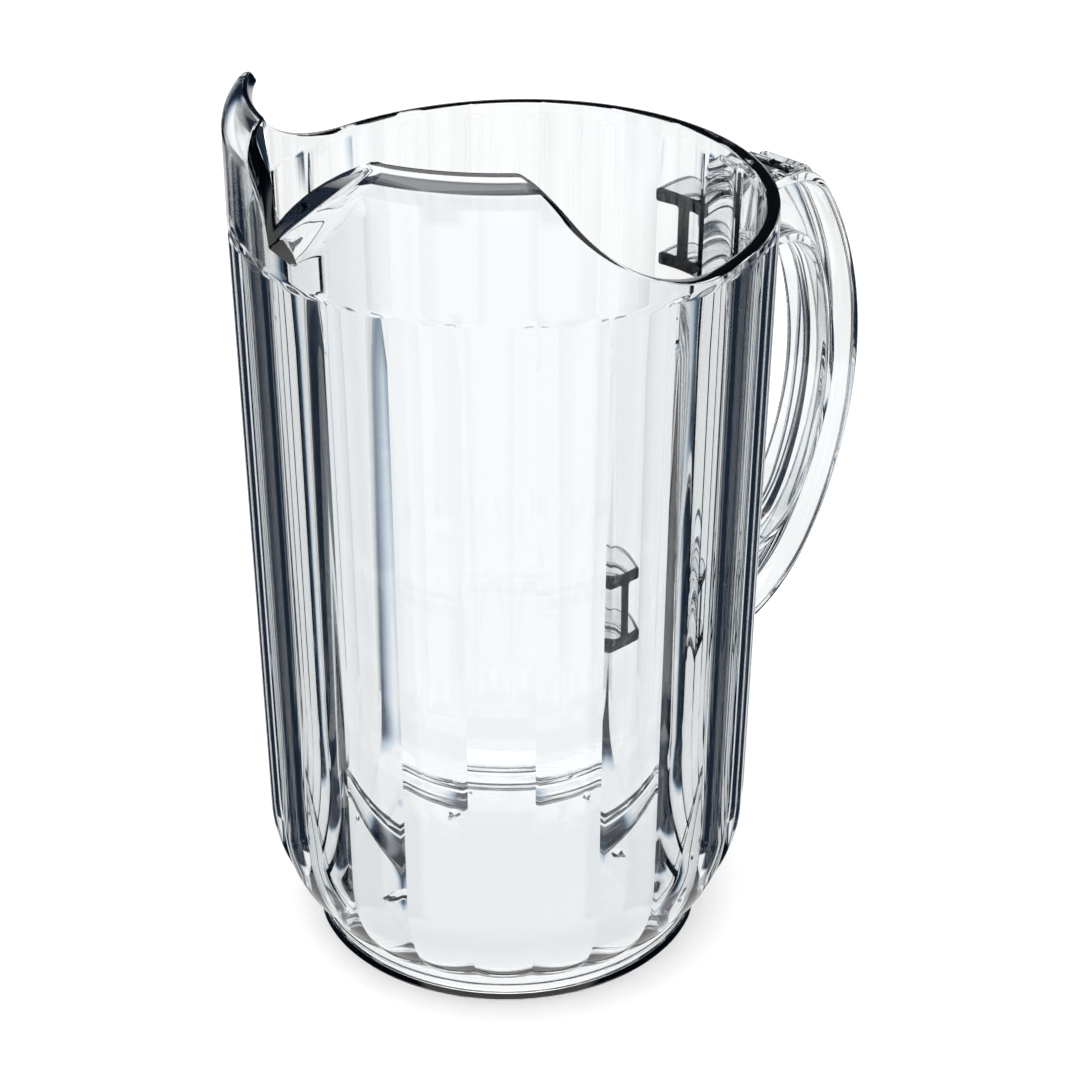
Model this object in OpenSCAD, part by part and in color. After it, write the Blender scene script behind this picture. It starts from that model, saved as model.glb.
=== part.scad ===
// Clear moulded beer pitcher, standing on its foot with the jug's axis on Z.
// The handle is on the +X side and the pouring beak on the -X side.

/* [Body] */
// Number of upright lobes round the body
lobe_count = 24; // [16:1:36]
// Radius of the convex face of one lobe at the collar line
lobe_round = 20; // [18:0.5:40]
// Height of the collar line, where the lobes end
collar_line_h = 182; // [155:1:210]
// Diameter over the lobe crests at the collar line
collar_line_d = 121.8; // [114:0.2:132]
// Height at which the upright wall turns into the shoulder
shoulder_h = 33; // [29:0.5:37]
// Diameter over the lobe crests where the shoulder starts
shoulder_d = 116.6; // [110:0.2:121]
// Radius of the shoulder, in side view
shoulder_round = 38.4; // [34:0.2:44]
// Thickness of the wall at the bottom of the grooves
wall_t = 2.4; // [1.6:0.1:3.4]
// Radius of the inside corner between the wall and the floor
inside_round = 20; // [14:0.5:26]
// Thickness of the floor
floor_t = 3; // [2.5:0.1:4]

/* [Foot] */
// Diameter of the foot ring
foot_d = 94.4; // [90:0.2:104]
// Height of the foot ring
foot_h = 5; // [4:0.1:6]
// Width of the foot ring's resting face
foot_ring_w = 7.2; // [4:0.1:12]
// Bevel at the bottom edge of the foot ring
foot_bevel = 0.6; // [0.2:0.1:1.5]
// Depth of the hollow under the floor
foot_recess = 1.2; // [1:0.1:2]
// Number of small round pips under the floor
pip_count = 6; // [3:1:12]
// Diameter of a pip
pip_d = 2.6; // [1.5:0.1:4]
// Height of a pip
pip_h = 0.7; // [0.4:0.1:0.9]
// Distance from the foot ring's inner edge to the row of pips
pip_inset = 3; // [2:0.1:6]

/* [Rim] */
// How far the smooth collar stands in from the lobe crests at the collar line
collar_inset = 0.3; // [0:0.1:1]
// Height of the bevel that ends the lobes at the collar
lobe_bevel_h = 2.4; // [1.5:0.1:4]
// Height above the collar line at which the wings curl inwards
curl_h = 21; // [18:0.5:28]
// Outer radius of the curl
curl_round = 10; // [7:0.2:14]
// How far the wings' curled edges stand in from the collar
mouth_inset = 6.3; // [4:0.1:8]
// Height of the dip behind the wings above the collar line
dip_h = 2; // [1.5:0.1:3.5]
// Height of the rim at the handle above the collar line
back_h = 4.4; // [2.5:0.1:8]
// Radius of the flank by which a wing falls to the dip
flank_round = 42; // [37:0.5:47]
// Distance behind the axis at which the flank meets the dip
flank_x = 4.5; // [2:0.1:7]
// Distance from the collar's front to the front corner of the wings
wing_front_inset = 5.4; // [3:0.1:7]
// Rounding of the wings' front corner
wing_front_round = 8; // [3:0.5:11]
// Rounding of the wings' back corner
wing_back_round = 1.5; // [1:0.5:4]

/* [Beak] */
// How far the beak's tip stands out from the collar
beak_reach = 5.6; // [3.5:0.1:8]
// Height of the tip above the collar line
beak_tip_h = 10.4; // [8.5:0.1:12]
// Height of the chin, where the beak leaves the collar, above the collar line
beak_chin_h = 5; // [4:0.1:6]
// Half angle between the lower ends of the two creases
crease_low_angle = 7.3; // [5:0.1:10]
// Height of the creases' lower ends above the collar line
crease_low_h = 10.1; // [8:0.1:12]
// Half angle between the upper ends of the two creases
crease_high_angle = 17.2; // [14:0.1:20]
// Height of the creases' upper ends above the collar line
crease_high_h = 27.1; // [25:0.1:28]
// Thickness of the beak's wall
beak_wall = 2.6; // [1.8:0.1:3.4]

/* [Handle] */
// How far the handle stands out from the collar
handle_reach = 57; // [50:0.5:70]
// Distance from the collar line down to the top of the handle
handle_drop = 13.6; // [10:0.2:18]
// Height of the handle's loop
handle_h = 123; // [112:0.5:128]
// Radius of the grip's outer curve
grip_round = 84.7; // [80:0.1:100]
// How far the middle of the grip's curve lies above the middle of the loop
grip_lift = 5.6; // [0:0.1:8]
// Depth of the I section in the grip
grip_depth = 10.6; // [8.6:0.1:13]
// Height of the I section at the upper root
upper_root_h = 19; // [15:0.1:24]
// Height of the I section at the lower root
lower_root_h = 21.5; // [16:0.1:26]
// Outer bend at the top of the loop
top_bend = 16; // [12:0.5:24]
// Outer bend at the bottom of the loop
bottom_bend = 40; // [30:0.5:46]
// Inner bend at the top of the finger gap
gap_top_bend = 15; // [8:0.5:24]
// Inner bend at the bottom of the finger gap
gap_bottom_bend = 25; // [10:0.5:32]
// Width of the outer flange
outer_flange_w = 16.8; // [13:0.1:22]
// Width of the inner flange
inner_flange_w = 14; // [10:0.1:18]
// Thickness of both flanges
flange_t = 3.1; // [2:0.1:3.8]
// Thickness of the web
web_t = 3.4; // [2:0.1:5]

/* [Thumb rest] */
// Number of cross ribs on the thumb rest
rib_count = 4; // [2:1:5]
// Distance between neighbouring ribs
rib_pitch = 6.6; // [5:0.1:8]
// Thickness of a rib
rib_t = 2; // [1.2:0.1:3]
// How far a rib stands above the flange
rib_h = 1.2; // [0.6:0.1:2.5]
// Margin between a rib's end and the flange's edge
rib_margin = 0.6; // [0.2:0.1:2]

/* [Hidden] */

// Fineness of the round forms
$fn = 96;
columns_per_lobe = 6;
shoulder_rings = 9;
bend_steps = 8;
grip_steps = 24;

// Small overlap by which one form reaches into the next before they are joined
overlap = 0.8;
// Length by which cutting forms reach past what they cut
cut_past = 12;

clear_plastic = [0.86, 0.91, 0.95, 0.5];

// Wall line of the lobe crests, and the inside wall parallel to it
column_count = lobe_count * columns_per_lobe;
lobe_pitch = 360 / lobe_count;
collar_line_r = collar_line_d / 2;
collar_r = collar_line_r - collar_inset;
mouth_r = collar_r - mouth_inset;
wall_slope = (collar_line_d - shoulder_d) / 2 / (collar_line_h - shoulder_h);
wall_lean = atan(wall_slope);
function crest_r(z) = shoulder_d / 2 + (z - shoulder_h) * wall_slope;

// Shape of one lobe as a share of the crest radius, at an angle from its crest
lobe_centre = 1 - lobe_round / collar_line_r;
function from_crest(angle) = angle - lobe_pitch * round(angle / lobe_pitch);
function lobe_share(a) =
    lobe_centre * cos(a) + sqrt(pow(lobe_round / collar_line_r, 2) - pow(lobe_centre * sin(a), 2));
groove_depth = collar_line_r * (1 - lobe_share(lobe_pitch / 2));
function inside_r(z) = crest_r(z) - groove_depth - wall_t;

// Centre of the shoulder's arc, which is tangent to the wall line
shoulder_x = shoulder_d / 2 - shoulder_round * cos(wall_lean);
shoulder_z = shoulder_h + shoulder_round * sin(wall_lean);
shoulder_end = -asin(min(1, (shoulder_z - foot_h + overlap) / shoulder_round));

// Rings of the lobed skin from the foot to the collar, each as [height, crest radius]
skin_rings = [
    for (i = [0 : shoulder_rings])
        let (a = shoulder_end + (-wall_lean - shoulder_end) * i / shoulder_rings)
        [shoulder_z + shoulder_round * sin(a), shoulder_x + shoulder_round * cos(a)],
    [collar_line_h - lobe_bevel_h / 2, crest_r(collar_line_h - lobe_bevel_h / 2)],
    [collar_line_h + lobe_bevel_h / 2, min(crest_r(collar_line_h), collar_r) - overlap / 2]
];

floor_z = foot_recess + floor_t;
foot_inner_r = foot_d / 2 - foot_ring_w;

// Curl of the wings, with its centre inside the collar
curl_x = collar_r - curl_round;
curl_z = collar_line_h + curl_h;
rim_top = curl_z + sqrt(pow(curl_round, 2) - pow(mouth_r - curl_x, 2));
function collar_skin_r(z) = z < curl_z ? collar_r : curl_x + sqrt(pow(curl_round, 2) - pow(z - curl_z, 2));

// Rim seen from the side, from the beak to the handle
beak_tip = [-(collar_r + beak_reach), 0, collar_line_h + beak_tip_h];
wing_front = [wing_front_inset - collar_r, rim_top];
flank_centre = [flank_x, collar_line_h + dip_h + flank_round];
flank_from = 180 + asin((flank_centre.y - rim_top + 2 * wing_back_round) / flank_round);
flank_start = flank_centre + flank_round * [cos(flank_from), sin(flank_from)];
wing_back = flank_start + 2 * wing_back_round * [1 / tan(flank_from - 90), 1];
rim_back = [collar_r, collar_line_h + back_h];

// Handle loop seen from the side, with the grip's centre on the jug's side of the grip
loop_top = collar_line_h - handle_drop;
loop_bottom = loop_top - handle_h;
grip_centre = [collar_r + handle_reach - grip_round, (loop_top + loop_bottom) / 2 + grip_lift];

function unit(v) = v / norm(v);

// Points of an arc about a centre, from one angle to another
function arc(centre, r, from, to, steps) =
    [for (i = [0 : steps]) let (a = from + (to - from) * i / steps) centre + r * [cos(a), sin(a)]];

// Points that round the corner b of the line a, b, c
function rounded(a, b, c, r) =
    let (
        u = unit(a - b),
        v = unit(c - b),
        half = acos(u * v) / 2,
        centre = b + unit(u + v) * r / sin(half),
        first = b + u * r / tan(half) - centre,
        last = b + v * r / tan(half) - centre,
        start = atan2(first.y, first.x),
        turn = atan2(first.x * last.y - first.y * last.x, first * last)
    )
    arc(centre, r, start, start + turn, bend_steps);

// Place along X of a bend's centre, for a bend that runs smoothly into the grip's curve
function bend_x(z, r) = grip_centre.x + sqrt(r * r - pow(z - grip_centre.y, 2));

// Side outline of a loop: a level run from the wall, a bend, the grip, a bend and a level run back
function loop_outline(inset, r, low, high, low_bend, high_bend) =
    let (
        low_z = low + low_bend,
        high_z = high - high_bend,
        low_x = bend_x(low_z, r - low_bend),
        high_x = bend_x(high_z, r - high_bend),
        low_a = atan2(low_z - grip_centre.y, low_x - grip_centre.x),
        high_a = atan2(high_z - grip_centre.y, high_x - grip_centre.x)
    )
    concat(
        [[0, low + inset]],
        arc([low_x, low_z], low_bend - inset, -90, low_a, bend_steps),
        arc(grip_centre, r - inset, low_a, high_a, grip_steps),
        arc([high_x, high_z], high_bend - inset, high_a, 90, bend_steps),
        [[0, high - inset]]
    );

// Outer outline of the handle, drawn in by an inset
module outer_loop(inset) {
    polygon(loop_outline(inset, grip_round, loop_bottom, loop_top, bottom_bend, top_bend));
}

// Outline of the finger gap, grown by an inset below zero
module gap_loop(inset) {
    polygon(loop_outline(inset, grip_round - grip_depth, loop_bottom + lower_root_h,
        loop_top - upper_root_h, gap_bottom_bend, gap_top_bend));
}

// Side view stood up in the XZ plane and given a width along Y
module stand_up(width) {
    rotate([90, 0, 0]) linear_extrude(height = width, center = true) children();
}

// Solid of the lobed wall and shoulder, lofted through rings of one shape
module lobed_skin() {
    ring_count = len(skin_rings);
    points = [
        for (ring = skin_rings, j = [0 : column_count - 1])
            let (a = 360 * j / column_count, r = ring[1] * lobe_share(from_crest(a)))
            [r * cos(a), r * sin(a), ring[0]]
    ];
    sides = [
        for (k = [0 : ring_count - 2], j = [0 : column_count - 1])
            let (next = (j + 1) % column_count, low = k * column_count, high = low + column_count)
            [low + j, high + j, high + next, low + next]
    ];
    bottom = [for (j = [0 : column_count - 1]) j];
    top = [for (j = [column_count - 1 : -1 : 0]) (ring_count - 1) * column_count + j];
    polyhedron(points, concat([bottom], sides, [top]));
}

// Smooth collar, bevelled below so that it dies into the grooves and curled in at the top
module collar() {
    low = collar_line_h - lobe_bevel_h / 2;
    core_r = crest_r(low) - groove_depth - wall_t / 2;
    rotate_extrude()
        union() {
            polygon([
                [0, low - (collar_r - core_r)],
                [core_r, low - (collar_r - core_r)],
                [collar_r, low],
                [collar_r, curl_z],
                [0, curl_z]
            ]);
            intersection() {
                translate([curl_x, curl_z]) circle(r = curl_round);
                translate([curl_x, curl_z]) square(curl_round);
            }
            translate([0, curl_z]) square([curl_x, curl_round]);
        }
}

// Foot ring with a bevelled lower edge
module foot() {
    r = foot_d / 2;
    rotate_extrude()
        polygon([
            [0, foot_recess],
            [foot_inner_r, foot_recess],
            [foot_inner_r, 0],
            [r - foot_bevel, 0],
            [r, foot_bevel],
            [r, foot_h],
            [0, foot_h]
        ]);
}

// Wedge of the pouring beak between its creases, tip and chin, moved back and drawn out inwards
module beak(back, depth) {
    rise = rim_top + cut_past - beak_tip.z;
    crease = function(angle, height, side)
        let (r = collar_skin_r(collar_line_h + height))
        [-r * cos(angle), side * r * sin(angle), collar_line_h + height];
    low = [for (side = [-1, 1]) crease(crease_low_angle, crease_low_h, side)];
    high = [for (side = [-1, 1]) crease(crease_high_angle, crease_high_h, side)];
    growth = (rim_top + cut_past - low[0].z) / (high[0].z - low[0].z);
    top = [for (side = [0, 1]) low[side] + (high[side] - low[side]) * growth];
    facet = cross(high[1] - low[1], beak_tip - low[1]);
    ridge_top = beak_tip + [-facet.z / facet.x * rise, 0, rise];
    chin = [-collar_r, 0, collar_line_h + beak_chin_h];
    corners = concat(low, top, [chin, beak_tip, ridge_top]);
    shift = back * norm(facet) / abs(facet.x);
    hull()
        for (x = [shift, shift + depth])
            translate([x, 0, 0])
                polyhedron(corners, [[0, 1, 4], [0, 4, 5], [1, 5, 4], [0, 5, 6], [1, 6, 5], [0, 6, 2],
                    [1, 3, 6], [2, 6, 3], [0, 2, 3], [0, 3, 1]]);
}

// Inside of the jug: floor, round corner, tapered wall and the hollow of the curl
module jug_inside() {
    corner_z = floor_z + inside_round;
    corner_x = inside_r(corner_z) - inside_round;
    rotate_extrude()
        intersection() {
            translate([0, floor_z]) square([2 * collar_r, rim_top + cut_past]);
            union() {
                translate([corner_x, corner_z]) circle(r = inside_round);
                translate([0, floor_z]) square([corner_x, inside_round]);
                polygon([[0, corner_z], [inside_r(corner_z), corner_z], [inside_r(curl_z), curl_z], [0, curl_z]]);
                translate([curl_x, curl_z]) circle(r = inside_r(curl_z) - curl_x);
                translate([0, curl_z]) square([mouth_r, curl_round + cut_past]);
            }
        }
}

// Everything above the rim, cut away along the side view
module above_rim() {
    far = 2 * collar_r;
    high = rim_top + far;
    tip = [beak_tip.x, beak_tip.z];
    front_low = tip + (tip - wing_front) * cut_past / norm(tip - wing_front);
    back_run = unit(rim_back - flank_centre + [0, flank_round]);
    stand_up(2 * far)
        polygon(concat(
            [[-far, high], [-far, front_low.y], front_low],
            rounded(front_low, wing_front, wing_back, wing_front_round),
            rounded(wing_front, wing_back, flank_start, wing_back_round),
            arc(flank_centre, flank_round, flank_from, 270, grip_steps),
            [rim_back + back_run * cut_past, [far, rim_back.y + cut_past], [far, high]]
        ));
}

module pips() {
    row_r = foot_inner_r - pip_inset;
    for (i = [0 : pip_count - 1])
        rotate(360 * (i + 0.5) / pip_count)
            translate([row_r, 0, foot_recess - pip_h])
                cylinder(d = pip_d, h = pip_h + overlap);
}

// Jug: lobed wall, collar, beak and foot as one moulding, open at the rim
module jug_body() {
    color(clear_plastic) {
        difference() {
            union() {
                lobed_skin();
                collar();
                foot();
                beak(0, 0);
            }
            jug_inside();
            beak(beak_wall, cut_past);
            above_rim();
            translate([0, 0, -cut_past]) cylinder(r = foot_inner_r, h = cut_past + foot_recess);
        }
        pips();
    }
}

// Cross ribs along the top flange, the last of them leaning with the bend
module thumb_ribs() {
    length = outer_flange_w - 2 * rib_margin;
    bend_z = loop_top - top_bend;
    bend_centre_x = bend_x(bend_z, grip_round - top_bend);
    lean = rib_pitch / top_bend * 180 / PI;
    for (i = [0 : rib_count - 1])
        translate([bend_centre_x - max(0, i - 1) * rib_pitch, 0, bend_z])
            rotate([0, i == 0 ? lean : 0, 0])
                translate([-rib_t / 2, -length / 2, top_bend - overlap])
                    cube([rib_t, length, rib_h + overlap]);
}

// Handle: two flanges and a web bent into a loop, with both roots shaped to the lobed wall
module handle() {
    color(clear_plastic)
        difference() {
            union() {
                stand_up(outer_flange_w) difference() {
                    outer_loop(0);
                    outer_loop(flange_t);
                }
                stand_up(inner_flange_w) difference() {
                    gap_loop(-flange_t);
                    gap_loop(0);
                }
                stand_up(web_t) difference() {
                    outer_loop(flange_t / 2);
                    gap_loop(-flange_t / 2);
                }
                thumb_ribs();
            }
            lobed_skin();
        }
}

jug_body();
handle();
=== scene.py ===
"""Looks of a clear moulded beer pitcher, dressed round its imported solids."""

import logging
import math
from dataclasses import dataclass
from enum import Enum
from typing import Callable, Dict, List, Optional, Sequence, Tuple

import bmesh
import bpy
import numpy as np
from mathutils import Matrix, Vector

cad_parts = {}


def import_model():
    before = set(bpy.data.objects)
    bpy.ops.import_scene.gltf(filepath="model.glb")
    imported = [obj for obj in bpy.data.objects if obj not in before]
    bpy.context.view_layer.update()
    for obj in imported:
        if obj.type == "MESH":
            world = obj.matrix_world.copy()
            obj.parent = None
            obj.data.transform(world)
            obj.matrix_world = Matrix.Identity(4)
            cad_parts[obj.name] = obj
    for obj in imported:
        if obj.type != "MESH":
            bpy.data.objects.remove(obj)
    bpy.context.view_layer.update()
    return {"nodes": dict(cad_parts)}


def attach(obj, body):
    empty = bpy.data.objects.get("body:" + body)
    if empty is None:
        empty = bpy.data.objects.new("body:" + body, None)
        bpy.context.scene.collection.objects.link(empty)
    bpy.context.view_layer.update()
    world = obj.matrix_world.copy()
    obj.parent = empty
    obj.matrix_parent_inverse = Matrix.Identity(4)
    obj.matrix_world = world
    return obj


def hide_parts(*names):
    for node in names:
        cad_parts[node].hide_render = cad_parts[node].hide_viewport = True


Colour = Tuple[float, float, float, float]

LOG = logging.getLogger("pitcher")
MM = 0.001
TINY = 1e-6
ROOT = "root"
COLUMN_TAG = "column"
RING_TAG = "ring"
# Name of the mesh attribute that carries the painted shade of the lip's front edges.
EDGE_TAG = "painted_edge_shade"
HALVINGS = 40
SEAT_PASSES = 6
WHITE: Colour = (1.0, 1.0, 1.0, 1.0)
# Painted shade: the near-black tone on the lip's front edges, the wings' tops and the curl's inner face,
# standing in for light led away along the wall.
EDGE_SHADE_TONE: Colour = (0.0003, 0.0006, 0.0016, 1.0)
# Painted shade on the handle's roots, in place of light led away through the handle: full within ROOT_DARK
# and gone beyond ROOT_CLEAR, in millimetres outside the wall's crest radius.
ROOT_SHADE_TONE: Colour = (0.0005, 0.0007, 0.0012, 1.0)
ROOT_DARK = 0.15
ROOT_CLEAR = 0.5
FLAG_TONES = (
    (0.0, (1.0, 1.0, 1.0)),
    (0.35, (0.62, 0.72, 0.82)),
    (0.7, (0.05, 0.085, 0.14)),
    (1.0, (0.01, 0.018, 0.032)),
)


class Skin(Enum):
    """Side of the jug's wall."""

    OUTER = "outer"
    INNER = "inner"


def polar(angles: np.ndarray, radii: np.ndarray, heights: np.ndarray) -> np.ndarray:
    """Points of a ring."""
    angles, radii, heights = np.broadcast_arrays(angles, radii, heights)
    return np.stack([radii * np.cos(angles), radii * np.sin(angles), heights], -1)


def clear_selection() -> None:
    """Leaves object mode with nothing selected."""
    if bpy.context.object is not None and bpy.context.object.mode != "OBJECT":
        bpy.ops.object.mode_set(mode="OBJECT")
    bpy.ops.object.select_all(action="DESELECT")


def soft_min(one: float, two: float, size: float) -> float:
    """The lower of two heights, with the corner between them rounded."""
    low, high = min(one, two), max(one, two)
    return low - size / 2 * math.log1p(math.exp(-2 * (high - low) / size))


class NodeChain:
    """Short way to write the nodes of a tree."""

    def __init__(self, tree: bpy.types.NodeTree) -> None:
        """Keeps the tree."""
        self.tree = tree

    def feed(self, socket: bpy.types.NodeSocket, value: object) -> None:
        """Links or sets an input.

        Args:
            socket: The input.
            value: A socket to link, or a value to set.
        """
        if isinstance(value, bpy.types.NodeSocket):
            self.tree.links.new(value, socket)
        else:
            socket.default_value = value

    def do(self, operation: str, *values: object) -> bpy.types.NodeSocket:
        """Adds one Math node.

        Args:
            operation: Name of the operation.
            values: Sockets or numbers.

        Returns:
            The result's socket.
        """
        node = self.tree.nodes.new("ShaderNodeMath")
        node.operation = operation
        for socket, value in zip(node.inputs, values):
            self.feed(socket, value)
        return node.outputs["Value"]

    def length(self, one: bpy.types.NodeSocket, two: bpy.types.NodeSocket) -> bpy.types.NodeSocket:
        """Adds the length of a side of a right triangle, opposite the right angle."""
        return self.do("SQRT", self.do("MULTIPLY_ADD", one, one, self.do("MULTIPLY", two, two)))

    def split(self, vector: bpy.types.NodeSocket) -> bpy.types.NodeOutputs:
        """Splits a vector.

        Args:
            vector: The vector.

        Returns:
            The sockets X, Y and Z.
        """
        node = self.tree.nodes.new("ShaderNodeSeparateXYZ")
        self.feed(node.inputs["Vector"], vector)
        return node.outputs

    def ramp(self, value: bpy.types.NodeSocket, low: float, high: float) -> bpy.types.NodeSocket:
        """Adds a soft step from 0 to 1.

        Args:
            value: The socket to step.
            low: Where the step starts.
            high: Where the step ends.

        Returns:
            The step's socket.
        """
        node = self.tree.nodes.new("ShaderNodeMapRange")
        node.interpolation_type = "SMOOTHSTEP"
        node.inputs["From Min"].default_value = low
        node.inputs["From Max"].default_value = high
        self.feed(node.inputs["Value"], value)
        return node.outputs["Result"]

    def blend(self, share: bpy.types.NodeSocket, first: object, second: object) -> bpy.types.NodeSocket:
        """Adds a mix of two colours.

        Args:
            share: Share of the second colour.
            first: First colour or its socket.
            second: Second colour or its socket.

        Returns:
            The colour's socket.
        """
        mix = self.tree.nodes.new("ShaderNodeMix")
        mix.data_type = "RGBA"
        for name, value in (("Factor", share), ("A", first), ("B", second)):
            self.feed(mix.inputs[name], value)
        return mix.outputs["Result"]

    def noise(self, vector: bpy.types.NodeSocket, scale: float, detail: float) -> bpy.types.NodeSocket:
        """Adds a noise texture.

        Args:
            vector: Place on the piece.
            scale: Scale of the noise.
            detail: Detail of the noise.

        Returns:
            The noise's socket.
        """
        node = self.tree.nodes.new("ShaderNodeTexNoise")
        node.inputs["Scale"].default_value = scale
        node.inputs["Detail"].default_value = detail
        self.feed(node.inputs["Vector"], vector)
        return node.outputs["Fac"]


def start_group(name: str, *sockets: Tuple[str, str, str]
                ) -> Tuple[NodeChain, bpy.types.Node, bpy.types.Node]:
    """Starts a node group.

    Args:
        name: Name of the group.
        sockets: Name, way and kind of each socket.

    Returns:
        The group's chain, input node and output node.
    """
    tree = bpy.data.node_groups.new(name, "ShaderNodeTree")
    for label, way, kind in sockets:
        tree.interface.new_socket(label, in_out=way, socket_type="NodeSocket" + kind)
    return NodeChain(tree), tree.nodes.new("NodeGroupInput"), tree.nodes.new("NodeGroupOutput")


class RingLoft:
    """A skin drawn by extruding one circle ring after ring, with each ring then set in place."""

    def __init__(self, name: str, rings: Sequence[np.ndarray]) -> None:
        """Draws the skin.

        Args:
            name: Name of the piece.
            rings: Points of each ring in millimetres, all of one count and order.
        """
        clear_selection()
        bpy.ops.mesh.primitive_circle_add(vertices=len(rings[0]), radius=1.0, fill_type="NOTHING")
        self.piece: bpy.types.Object = bpy.context.object
        self.piece.name = name
        self.piece.data.name = name
        self.ring_count = len(rings)
        bpy.ops.object.mode_set(mode="EDIT")
        bpy.ops.mesh.select_mode(type="VERT")
        bpy.ops.mesh.select_all(action="SELECT")
        mesh = bmesh.from_edit_mesh(self.piece.data)
        column = mesh.verts.layers.int.new(COLUMN_TAG)
        mesh.verts.layers.int.new(RING_TAG)
        for index, vert in enumerate(mesh.verts):
            vert[column] = index
        self._place(rings[0], 0)
        for number, ring in enumerate(rings[1:], 1):
            step = Vector((ring - rings[number - 1]).mean(0) * MM)
            bpy.ops.mesh.extrude_region_move(TRANSFORM_OT_translate={"value": step})
            self._place(ring, number)

    def _open(self) -> Tuple[bmesh.types.BMesh, bmesh.types.BMLayerItem, bmesh.types.BMLayerItem]:
        """Opens the mesh that is being edited."""
        mesh = bmesh.from_edit_mesh(self.piece.data)
        return mesh, mesh.verts.layers.int[COLUMN_TAG], mesh.verts.layers.int[RING_TAG]

    def _place(self, points: np.ndarray, number: int) -> None:
        """Sets the selected ring on its points.

        Args:
            points: Points of the ring in millimetres.
            number: Number of the ring.
        """
        mesh, column, ring = self._open()
        for vert in mesh.verts:
            if vert.select:
                vert.co = Vector(points[vert[column]] * MM)
                vert[ring] = number
        bmesh.update_edit_mesh(self.piece.data)

    def _select_ring(self, number: int) -> None:
        """Selects the points of one ring only.

        Args:
            number: Number of the ring.
        """
        bpy.ops.mesh.select_all(action="DESELECT")
        mesh, _, ring = self._open()
        for vert in mesh.verts:
            vert.select = vert[ring] == number
        mesh.select_flush(True)
        bmesh.update_edit_mesh(self.piece.data)

    def close_to_points(self) -> None:
        """Draws the first and the last ring together to a point each."""
        for number in (0, self.ring_count - 1):
            self._select_ring(number)
            bpy.ops.mesh.merge(type="CENTER")

    def close_with_faces(self) -> None:
        """Fills the first and the last ring with a face each."""
        for number in (0, self.ring_count - 1):
            self._select_ring(number)
            bpy.ops.mesh.edge_face_add()

    def mark_sharp(self, columns: Sequence[int], rings: Sequence[int], span: Tuple[int, int]) -> None:
        """Marks crisp lines on the skin.

        Args:
            columns: Columns that are crisp between the two rings of the span.
            rings: Rings that are crisp all round.
            span: First and last ring of the crisp columns.
        """
        bpy.ops.mesh.select_mode(type="EDGE")
        bpy.ops.mesh.select_all(action="DESELECT")
        mesh, column, ring = self._open()
        crisp_columns, crisp_rings = set(columns), set(rings)
        for edge in mesh.edges:
            one, two = edge.verts
            upright = one[column] == two[column] and one[column] in crisp_columns
            inside = span[0] <= min(one[ring], two[ring]) and max(one[ring], two[ring]) <= span[1]
            level = one[ring] == two[ring] and one[ring] in crisp_rings
            edge.select = (upright and inside) or level
        bmesh.update_edit_mesh(self.piece.data)
        bpy.ops.mesh.mark_sharp()
        bpy.ops.mesh.select_mode(type="VERT")

    def shade_rings(self, rings: Sequence[int], shares: np.ndarray) -> None:
        """Writes the painted shade of the points of some rings, for the material to read.

        Args:
            rings: Numbers of the rings.
            shares: Share of the painted dark tone at each column.
        """
        mesh, column, ring = self._open()
        shade = mesh.verts.layers.float.new(EDGE_TAG)
        chosen = set(rings)
        for vert in mesh.verts:
            vert[shade] = float(shares[vert[column]]) if vert[ring] in chosen else 0.0
        bmesh.update_edit_mesh(self.piece.data)

    def finish(self) -> bpy.types.Object:
        """Turns the faces outwards, shades them smooth and leaves edit mode.

        Returns:
            The finished piece.
        """
        bpy.ops.mesh.select_all(action="SELECT")
        bpy.ops.mesh.normals_make_consistent(inside=False)
        bpy.ops.mesh.faces_shade_smooth()
        bpy.ops.object.mode_set(mode="OBJECT")
        for tag in (COLUMN_TAG, RING_TAG):
            self.piece.data.attributes.remove(self.piece.data.attributes[tag])
        clear_selection()
        return self.piece


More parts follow.
